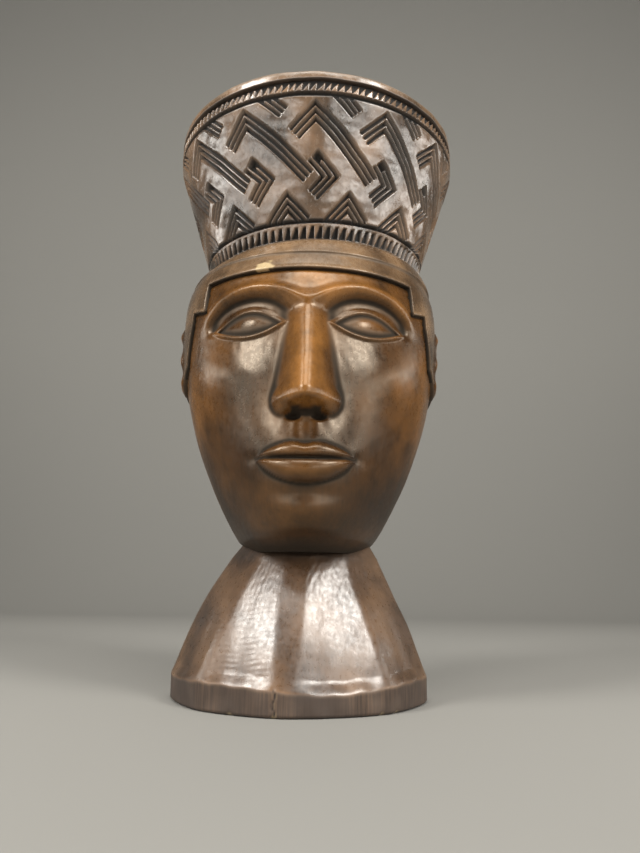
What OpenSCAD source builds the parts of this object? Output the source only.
// Figural drinking cup: a carved head on a flared foot, wearing a flared hat whose inside is the bowl.
// The cup is cut from one block of wood. Its carved zones are modelled here as separate solids that
// meet on the carver's own cut lines.
// Frame: +Z up, origin at the middle of the underside, the face looking along -Y. Millimetres.

/* [Foot] */
// Radius of the foot where it stands
foot_r = 51; // [46:0.5:56]
// Height of the upright edge around the foot
foot_edge_h = 7; // [4:0.5:12]
// Bevel around the underside
foot_bevel = 1.2; // [0.4:0.2:2]
// Height of the flared flank above the edge
foot_flank_h = 47; // [40:1:56]
// How far the flank swells out between its two ends
flank_swell = 1.6; // [0.4:0.2:3]
// Radius where the foot carries the head
neck_r = 31; // [28:0.5:34]

/* [Head] */
// Height of the head from the foot to the hat
head_h = 122; // [116:1:128]
// Width of the head at its widest
head_w = 112; // [106:1:118]
// Height of the widest level above the foot
wide_h = 90; // [84:1:96]
// Reach of the face in front of the axis
front_reach = 56; // [52:0.5:60]
// Reach of the back of the head behind the axis
back_reach = 59; // [54:0.5:64]
// Height over which the chin rounds under to the neck
chin_round_h = 36; // [28:1:42]
// Half width and back reach of the neck at its narrowest
waist_r = 27; // [24:0.5:29]
// Height of the narrowest level of the neck above the foot
waist_h = 5.5; // [4:0.5:8]

/* [Brows and eyes] */
// Height of the brows above the foot
brow_level = 96; // [92:1:100]
// Width of a brow
brow_w = 40; // [32:1:44]
// Thickness of a brow, up and down
brow_h = 12; // [8:1:16]
// Height of the brow ridges over the forehead
brow_lift = 3; // [1:0.5:5]
// Height of the eye line above the foot
eye_level = 84; // [80:1:88]
// Distance between the middles of the eyes
eye_spacing = 45; // [42:1:50]
// Width of an eye
eye_w = 25; // [20:0.5:27]
// Height of an eye
eye_h = 15; // [10:0.5:18]
// Rise of the eye domes out of their sockets
eye_lift = 6; // [3:0.5:7]
// Width of an eye socket
socket_w = 34; // [28:1:38]
// Height of an eye socket
socket_h = 21; // [18:1:26]
// Depth of the eye sockets
socket_depth = 6.5; // [4:0.5:8]

/* [Nose and mouth] */
// Height of the nose's base above the foot
nose_level = 48; // [45:1:52]
// Width of the nose across its wings
nose_w = 22; // [18:0.5:26]
// Width of the nose bridge
nose_bridge_w = 9; // [7:0.5:12]
// Reach of the nose tip in front of the face
nose_reach = 14; // [9:0.5:18]
// Height of the line of the mouth above the foot
mouth_level = 32; // [30:0.5:35]
// Width of the mouth
mouth_w = 38; // [32:1:44]
// Thickness of the lips at the middle of the mouth
lip_lift = 4; // [2:0.5:6]
// Height of the upper lip
upper_lip_h = 6; // [4:0.5:8]
// Dip in the middle of the upper lip
lip_bow = 1.5; // [0.5:0.5:2.5]
// Height of the lower lip
lower_lip_h = 7; // [4:0.5:9]
// Width of the swell around the mouth
muzzle_w = 52; // [44:1:60]
// Height of the swell around the mouth
muzzle_h = 40; // [34:1:46]
// Lift of the swell around the mouth
muzzle_lift = 4; // [2:0.5:6]
// Height of the chin above the foot
chin_level = 14; // [11:1:17]
// Width of the chin
chin_w = 34; // [28:1:40]
// Height of the chin
chin_h = 20; // [16:1:24]
// Lift of the chin
chin_lift = 3; // [1:0.5:5]

/* [Hair and ears] */
// Step from the face up to the hair
hair_t = 1.4; // [0.8:0.1:2.4]
// Drop of the hairline below the hat over the forehead
front_drop = 16; // [12:0.5:18]
// Angle from the middle of the face to the front of the tab of hair at the temple
temple_turn = 47; // [44:1:50]
// Angle that the tab spans
tab_turn = 11; // [8:1:14]
// Height of the tab below the hairline
tab_h = 12; // [8:0.5:13]
// Drop of the hairline in front of the ear
ear_drop = 46; // [40:1:52]
// Drop of the hairline at the nape
nape_drop = 68; // [60:1:76]
// Height of the middle of the ears above the foot
ear_level = 83; // [79:1:87]
// Height of an ear
ear_h = 30; // [24:1:36]
// Width of an ear along the side of the head
ear_w = 22; // [18:1:26]
// Width of the ear's rolled edge
ear_roll_w = 6; // [4:0.5:8]
// Angle from the middle of the face to the middle of an ear
ear_turn = 84; // [80:1:92]
// How far the ear stands out
ear_lift = 2.2; // [1.4:0.2:4]

/* [Hat] */
// Outer radius where the hat meets the head
hat_foot_r = 46; // [43:0.5:49]
// Outer radius at the mouth
mouth_r = 62.5; // [58:0.5:66]
// Height of the lower notched band
lower_band_h = 7.6; // [6:0.2:10]
// Height of the chevron-cut wall
wall_h = 44.9; // [38:0.1:54]
// Height of the upper notched band
upper_band_h = 7.8; // [6:0.2:10]
// Height of the plain lip
lip_h = 3.7; // [3:0.1:8]
// Depth of the grooves beside the notched bands
groove_depth = 1.5; // [0.8:0.1:2.2]
// Height of the groove over the lower band
lower_groove_h = 1; // [0.6:0.1:1.4]
// Height of the plain bead between that groove and the notches
bead_h = 1.3; // [0.6:0.1:1.8]
// Height of the grooves under and over the upper band's teeth
upper_groove_h = 2; // [1:0.1:2.4]
// Number of notches in the lower band
lower_notches = 92; // [60:1:110]
// Number of notches in the upper band
upper_notches = 140; // [90:1:160]
// Depth of the notches
notch_depth = 1.2; // [0.6:0.1:1.8]

/* [Chevrons] */
// Number of times the chevron figure repeats around the wall
chevron_repeats = 13; // [10:1:15]
// Width of a chevron band
chevron_w = 6; // [4:0.5:7]
// Depth of the chevron bands
chevron_depth = 0.9; // [0.5:0.1:1.6]

/* [Bowl] */
// Thickness of the hat's wall, measured level
wall_t = 4.6; // [3.8:0.1:6]
// Height of the bowl's floor above the foot
bowl_level = 46; // [34:1:60]
// Radius of the bowl just above its floor
bowl_floor_r = 30; // [24:0.5:34]
// Rounding between the floor and the bowl's side
bowl_round = 10; // [6:1:16]

/* [Hidden] */
$fn = 96;

// Heights of the levels where the zones meet.
head_z = foot_edge_h + foot_flank_h;
hat_z = head_z + head_h;
wall_z = hat_z + lower_band_h;
upper_z = wall_z + wall_h;
lip_z = upper_z + upper_band_h;
top_z = lip_z + lip_h;

// Heights of the features of the head.
wide_z = head_z + wide_h;
waist_z = head_z + waist_h;
brow_z = head_z + brow_level;
eye_z = head_z + eye_level;
nose_z = head_z + nose_level;
mouth_z = head_z + mouth_level;
chin_z = head_z + chin_level;
ear_z = head_z + ear_level;
bowl_z = head_z + bowl_level;
eye_x = eye_spacing / 2;

// Gap left under each raised feature, so that its facets clear the facets of the head.
seat_gap = 0.4;
// Thickness of a raised feature at its edge.
feature_edge = 1;

// Hairline: angle from the middle of the face, and drop below the hat. It runs level over the
// forehead, drops in a tab at the temple, steps down behind it, slants to the ear and on to the nape.
tab_end = temple_turn + tab_turn;
tab_rise = 0.2 * tab_h;
hairline = [
    [0, front_drop], [temple_turn, front_drop],
    [temple_turn + 1, front_drop + tab_h], [tab_end, front_drop + tab_h - tab_rise],
    [tab_end + 1, front_drop + tab_h + tab_rise], [tab_end + 8, ear_drop],
    [ear_turn + 16, mix(ear_drop, nape_drop, 0.5)], [ear_turn + 32, nape_drop], [180, nape_drop]
];
half_columns = concat(
    [for (a = [0:3:45]) a],
    [temple_turn, temple_turn + 1, mix(temple_turn, tab_end, 0.5), tab_end, tab_end + 1, tab_end + 4, tab_end + 8],
    [for (a = [tab_end + 12:5:ear_turn + 31]) a], [for (a = [ear_turn + 32:8:179]) a], [180]
);
columns = concat([for (i = [len(half_columns) - 2:-1:1]) -half_columns[i]], half_columns);
face_rows = 28;
hair_rows = 5;
floor_rows = 4;

// Chevron bands as runs of points: shares of one repeat around the wall, and of its height.
chevron_runs = [
    [[-0.27, 0.69], [0, 0.88], [0.9, 0.37]],
    [[0, 0.53], [0.25, 0.36], [0.02, 0.18]],
    [[0.3, 0], [0.56, 0.17], [0.86, 0]],
    [[0.37, 0.99], [0.57, 0.9]]
];
repeat_turn = 360 / chevron_repeats;
wall_lean = atan((mouth_r - hat_foot_r) / (upper_z - hat_z));

wood_dark = "#4a3326";
wood_face = "#6b4526";
wood_hat = "#57402f";

function mix(a, b, t) = a + (b - a) * t;
function limit(t) = max(0, min(1, t));
function bell(x, z, wide, tall) = exp(-pow(pow(2 * x / wide, 2) + pow(2 * z / tall, 2), 1.5));

// Outline of the head: its half width, front reach and back reach at each height.
function drop(z) = limit((wide_z - z) / (wide_z - waist_z));
function rise(z) = limit((z - wide_z) / (hat_z - wide_z));
function under_hat(reach, z) = reach - (reach - hat_foot_r + hair_t) * pow(rise(z), 2);
function egg(reach, z) = z < waist_z ? mix(neck_r, waist_r, (z - head_z) / waist_h)
    : waist_r + (reach - waist_r) * pow(max(0, cos(90 * drop(z))), 0.85);
function half_width(z) = z < wide_z ? egg(head_w / 2, z) : under_hat(head_w / 2, z);
function back(z) = z < wide_z ? egg(back_reach, z) : under_hat(back_reach, z);
function chin_turn(z) = pow(1 - pow(limit((head_z + chin_round_h - z) / chin_round_h), 3), 1 / 3);
function front(z) = z < wide_z ? neck_r + (front_reach - neck_r) * chin_turn(z) : under_hat(front_reach, z);

// Soft relief of the face, out along -Y: brows, sockets, mouth region and chin.
function brow(x, z) =
    let (across = 2 * (abs(x) - eye_x) / brow_w, up = 2 * (z - brow_z) / brow_h + pow(across, 2))
    brow_lift * exp(-pow(up, 2) - pow(across, 4));
function socket(x, z) = socket_depth * bell(abs(x) - eye_x, z - eye_z, socket_w, socket_h);
function muzzle(x, z) = muzzle_lift * bell(x, z - mouth_z, muzzle_w, muzzle_h);
function chin(x, z) = chin_lift * bell(x, z - chin_z, chin_w, chin_h);
function relief(x, z) = brow(x, z) - socket(x, z) + muzzle(x, z) + chin(x, z);

// A point of the skin at an angle from the middle of the face and a height, moved out by lift.
function skin(a, z, lift = 0) =
    let (d = cos(a) > 0 ? front(z) : back(z), x = half_width(z) * sin(a), y = -d * cos(a))
    let (out = cos(a) > 0 ? relief(x, z) * sqrt(cos(a)) : 0, swell = 1 + lift / norm([x, y]))
    [x * swell, (y - out) * swell, z];

// A point of the face at a place across and a height, moved forward by lift.
function face(x, z, lift) =
    let (a = asin(limit(abs(x) / half_width(z))) * sign(x), p = skin(a, z))
    [x, p[1] - lift, z];

function hair_drop(a) = lookup(abs(a), hairline);
function face_level(a, j) = mix(head_z, hat_z - hair_drop(a), pow(j / face_rows, 1.25));
function hair_level(a, j) = hat_z - hair_drop(a) * (1 - j / hair_rows);

// Outside of the hat, and the bowl inside it and inside the head.
function hat_r(z) = z < upper_z ? mix(hat_foot_r, mouth_r, (z - hat_z) / (upper_z - hat_z)) : mouth_r;
function bowl_r(z) = z > hat_z ? hat_r(z) - wall_t
    : mix(bowl_floor_r, hat_foot_r - wall_t, (z - bowl_z) / (hat_z - bowl_z));

// Faces between rows of n points that each go once around, from row first to row last.
function around_faces(n, first, last) = [
    for (j = [first:last - 1], i = [0:n - 1])
        let (k = (i + 1) % n, a = j * n + i, b = j * n + k, c = a + n, d = b + n)
        each [[a, c, d], [a, d, b]]
];
// Faces that close a row towards a point in its middle, seen from above or from below.
function fan_faces(n, row, centre, from_above) = [
    for (i = [0:n - 1])
        let (a = row * n + i, b = row * n + (i + 1) % n)
        from_above ? [a, centre, b] : [b, centre, a]
];

// A closed solid over a patch: its front and its back are functions of two parameters from 0 to 1.
module patch(front, back, nu, nv) {
    w = nu + 1;
    size = w * (nv + 1);
    points = concat(
        [for (j = [0:nv], i = [0:nu]) front(i / nu, j / nv)],
        [for (j = [0:nv], i = [0:nu]) back(i / nu, j / nv)]
    );
    skins = [
        for (j = [0:nv - 1], i = [0:nu - 1])
            let (a = j * w + i, b = a + 1, c = a + w, d = c + 1)
            each [[a, c, d], [a, d, b], [size + a, size + d, size + c], [size + a, size + b, size + d]]
    ];
    ends = [
        for (i = [0:nu - 1])
            let (a = i, b = a + 1, c = nv * w + i, d = c + 1)
            each [[a, b, size + b], [a, size + b, size + a], [c, size + d, d], [c, size + c, size + d]]
    ];
    sides = [
        for (j = [0:nv - 1])
            let (a = j * w, c = a + w, b = a + nu, d = c + nu)
            each [[a, size + c, c], [a, size + a, size + c], [b, d, size + d], [b, size + d, size + b]]
    ];
    polyhedron(points, concat(skins, ends, sides), 10);
}

// A feature of the face: place gives [across, height] and lift its swell, for two parameters.
module face_feature(place, lift, nu, nv) {
    color(wood_face)
        patch(
            function (u, v) let (p = place(u, v)) face(p[0], p[1], feature_edge + lift(u, v)),
            function (u, v) let (p = place(u, v)) face(p[0], p[1], seat_gap),
            nu, nv
        );
}

module foot_edge() {
    color(wood_dark)
        rotate_extrude()
            polygon([
                [0, 0], [foot_r - foot_bevel, 0], [foot_r, foot_bevel], [foot_r, foot_edge_h], [0, foot_edge_h]
            ]);
}

module foot_flank() {
    steps = 6;
    flank = [
        for (i = [0:steps])
            let (t = i / steps)
            [mix(foot_r, neck_r, t) + flank_swell * sin(180 * t), mix(foot_edge_h, head_z, t)]
    ];
    color(wood_dark)
        rotate_extrude()
            polygon(concat([[0, foot_edge_h]], flank, [[0, head_z]]));
}

// The head: its skin, the flat seat of the hat, and the lower part of the bowl inside it.
module head() {
    n = len(columns);
    skin_points = concat(
        [for (j = [0:face_rows], a = columns) skin(a, face_level(a, j))],
        [for (j = [1:hair_rows], a = columns) skin(a, hair_level(a, j))]
    );
    side_r = bowl_r(bowl_z + bowl_round);
    bowl_points = concat(
        [for (a = columns) let (r = bowl_r(hat_z)) [r * sin(a), -r * cos(a), hat_z]],
        [for (j = [0:floor_rows], a = columns)
            let (t = 90 * j / floor_rows, r = side_r - bowl_round * (1 - cos(t)))
            [r * sin(a), -r * cos(a), bowl_z + bowl_round * (1 - sin(t))]]
    );
    ends = [[0, 0, head_z], [0, 0, bowl_z]];
    last = face_rows + hair_rows + floor_rows + 2;
    centre = len(skin_points) + len(bowl_points);
    color(wood_face)
        polyhedron(
            concat(skin_points, bowl_points, ends),
            concat(
                around_faces(n, 0, last),
                fan_faces(n, 0, centre, false),
                fan_faces(n, last, centre + 1, true)
            ),
            10
        );
}

// The nose: a ridge from the brows down to its tip, widening into the wings.
module nose() {
    tip = 0.16;
    root_z = brow_z - brow_lift;
    function half_w(v) = mix(nose_w, nose_bridge_w, limit(v * 1.9)) / 2 + 1.5 * pow(v, 4);
    function ridge(v) = nose_reach * (v < tip ? sqrt(v / tip) : pow((1 - v) / (1 - tip), 0.9));
    face_feature(
        function (u, v) [half_w(v) * (2 * u - 1), mix(nose_z, root_z, v)],
        function (u, v) ridge(v) * pow(cos(90 * (2 * u - 1)), 0.8),
        10, 14
    );
}

// A lip between the line of the mouth and its own arched edge, above the line where way is 1.
module lip(way, tall, bow) {
    function arch(u) = pow(cos(90 * (2 * u - 1)), 0.6);
    function dip(u) = bow * exp(-pow((2 * u - 1) / 0.2, 2));
    function off_line(v) = way > 0 ? v : 1 - v;
    function full(u) = (tall - dip(u)) * arch(u) + feature_edge;
    face_feature(
        function (u, v) [mouth_w / 2 * (2 * u - 1), mouth_z + way * (seat_gap + off_line(v) * full(u))],
        function (u, v) lip_lift * arch(u) * pow(cos(90 * off_line(v) - 12), 2),
        14, 4
    );
}

module upper_lip() {
    lip(1, upper_lip_h, lip_bow);
}

module lower_lip() {
    lip(-1, lower_lip_h, 0);
}

// An almond-shaped dome, lids and eyeball together, on the left side of the face where way is 1.
module eye(way) {
    function bow(t) = cos(90 * (2 * t - 1));
    function half_h(u) = mix(feature_edge, eye_h / 2, pow(bow(u), 0.8));
    face_feature(
        function (u, v) [way * eye_x + eye_w / 2 * (2 * u - 1), eye_z + half_h(u) * (2 * v - 1)],
        function (u, v) eye_lift * pow(bow(u) * bow(v), 0.6),
        12, 8
    );
}

module left_eye() {
    eye(1);
}

module right_eye() {
    eye(-1);
}

// A rolled C-shaped ear, open towards the face, on the left side of the head where way is 1.
module ear(way) {
    turn_per_mm = 360 / (PI * head_w);
    function turn(u) = 50 + 260 * u;
    function off_roll(v) = (way > 0 ? 0.5 - v : v - 0.5) * ear_roll_w;
    function angle(u, v) = ear_turn - ((ear_w - ear_roll_w) / 2 + off_roll(v)) * turn_per_mm * cos(turn(u));
    function level(u, v) = ear_z + ((ear_h - ear_roll_w) / 2 + off_roll(v)) * sin(turn(u));
    function place(u, v, lift) = skin(way * angle(u, v), level(u, v), hair_t + lift);
    color(wood_face)
        patch(
            function (u, v) place(u, v, feature_edge + ear_lift * sin(180 * v)),
            function (u, v) place(u, v, seat_gap),
            16, 4
        );
}

module left_ear() {
    ear(1);
}

module right_ear() {
    ear(-1);
}

// The hair: a thin step over the skin from the hairline up to the hat.
module hair_cap() {
    n = len(columns);
    outside = [for (j = [0:hair_rows], a = columns) skin(a, hair_level(a, j), hair_t)];
    inside = [for (j = [hair_rows:-1:0], a = columns) skin(a, hair_level(a, j))];
    last = 2 * hair_rows + 1;
    hem = [
        for (i = [0:n - 1])
            let (k = (i + 1) % n, a = last * n + i, b = last * n + k)
            each [[a, i, k], [a, k, b]]
    ];
    color(wood_hat)
        polyhedron(concat(outside, inside), concat(around_faces(n, 0, last), hem), 10);
}

// A ring of the hat: its bowl side is smooth, and its outside goes through the levels given, each
// with the depth that it is cut in by.
module hat_ring(levels) {
    z0 = levels[0][0];
    z1 = levels[len(levels) - 1][0];
    outside = [for (p = levels) [hat_r(p[0]) - p[1], p[0]]];
    rotate_extrude()
        polygon(concat([[bowl_r(z1), z1], [bowl_r(z0), z0]], outside));
}

// Slanted chip cuts all around a bead between two levels.
module notches(count, z0, z1, lean) {
    z = (z0 + z1) / 2;
    wide = 0.55 * 2 * PI * hat_r(z) / count;
    tall = 0.8 * (z1 - z0);
    for (i = [0:count - 1])
        rotate(i * 360 / count)
            translate([hat_r(z), 0, z])
                rotate([lean, 0, 0])
                    cube([2 * notch_depth, wide, tall], center = true);
}

module lower_notched_band() {
    groove_z = wall_z - lower_groove_h;
    color(wood_dark)
        difference() {
            hat_ring([[hat_z, 0], [groove_z, 0], [groove_z, groove_depth], [wall_z, groove_depth]]);
            notches(lower_notches, hat_z, groove_z - bead_h, 12);
        }
}

module upper_notched_band() {
    low = upper_z + upper_groove_h;
    high = lip_z - upper_groove_h;
    color(wood_dark)
        difference() {
            hat_ring([
                [upper_z, groove_depth], [low, groove_depth], [low, 0],
                [high, 0], [high, groove_depth], [lip_z, groove_depth]
            ]);
            notches(upper_notches, low, high, 20);
        }
}

// A straight chevron band from one point of the wall to another, as short bars that follow its round.
module chevron_cut(from, to) {
    longest_bar = 0.32;
    steps = ceil(abs(to[0] - from[0]) / longest_bar);
    for (i = [0:steps - 1]) {
        start = mix(from, to, i / steps);
        end = mix(from, to, (i + 1) / steps);
        middle = (start + end) / 2;
        z = wall_z + middle[1] * wall_h;
        across = (end[0] - start[0]) * repeat_turn * PI / 180 * hat_r(z);
        up = (end[1] - start[1]) * wall_h / cos(wall_lean);
        rotate(middle[0] * repeat_turn - 90)
            translate([hat_r(z), 0, z])
                rotate([0, wall_lean, 0])
                    rotate([-atan2(across, up), 0, 0])
                        cube([2 * chevron_depth, chevron_w, norm([across, up]) + chevron_depth], center = true);
    }
}

module hat_wall() {
    color(wood_hat)
        difference() {
            hat_ring([[wall_z, 0], [upper_z, 0]]);
            for (k = [0:chevron_repeats - 1], run = chevron_runs, i = [1:len(run) - 1])
                rotate(k * repeat_turn)
                    chevron_cut(run[i - 1], run[i]);
        }
}

module rim_lip() {
    steps = 6;
    round_r = wall_t / 2;
    crest = [
        for (i = [0:steps])
            let (t = 180 * i / steps)
            [mouth_r - round_r + round_r * cos(t), top_z - round_r + round_r * sin(t)]
    ];
    color(wood_hat)
        rotate_extrude()
            polygon(concat([[bowl_r(lip_z), lip_z], [mouth_r, lip_z]], crest));
}

foot_edge();
foot_flank();
head();
nose();
upper_lip();
lower_lip();
left_eye();
right_eye();
left_ear();
right_ear();
hair_cap();
lower_notched_band();
hat_wall();
upper_notched_band();
rim_lip();
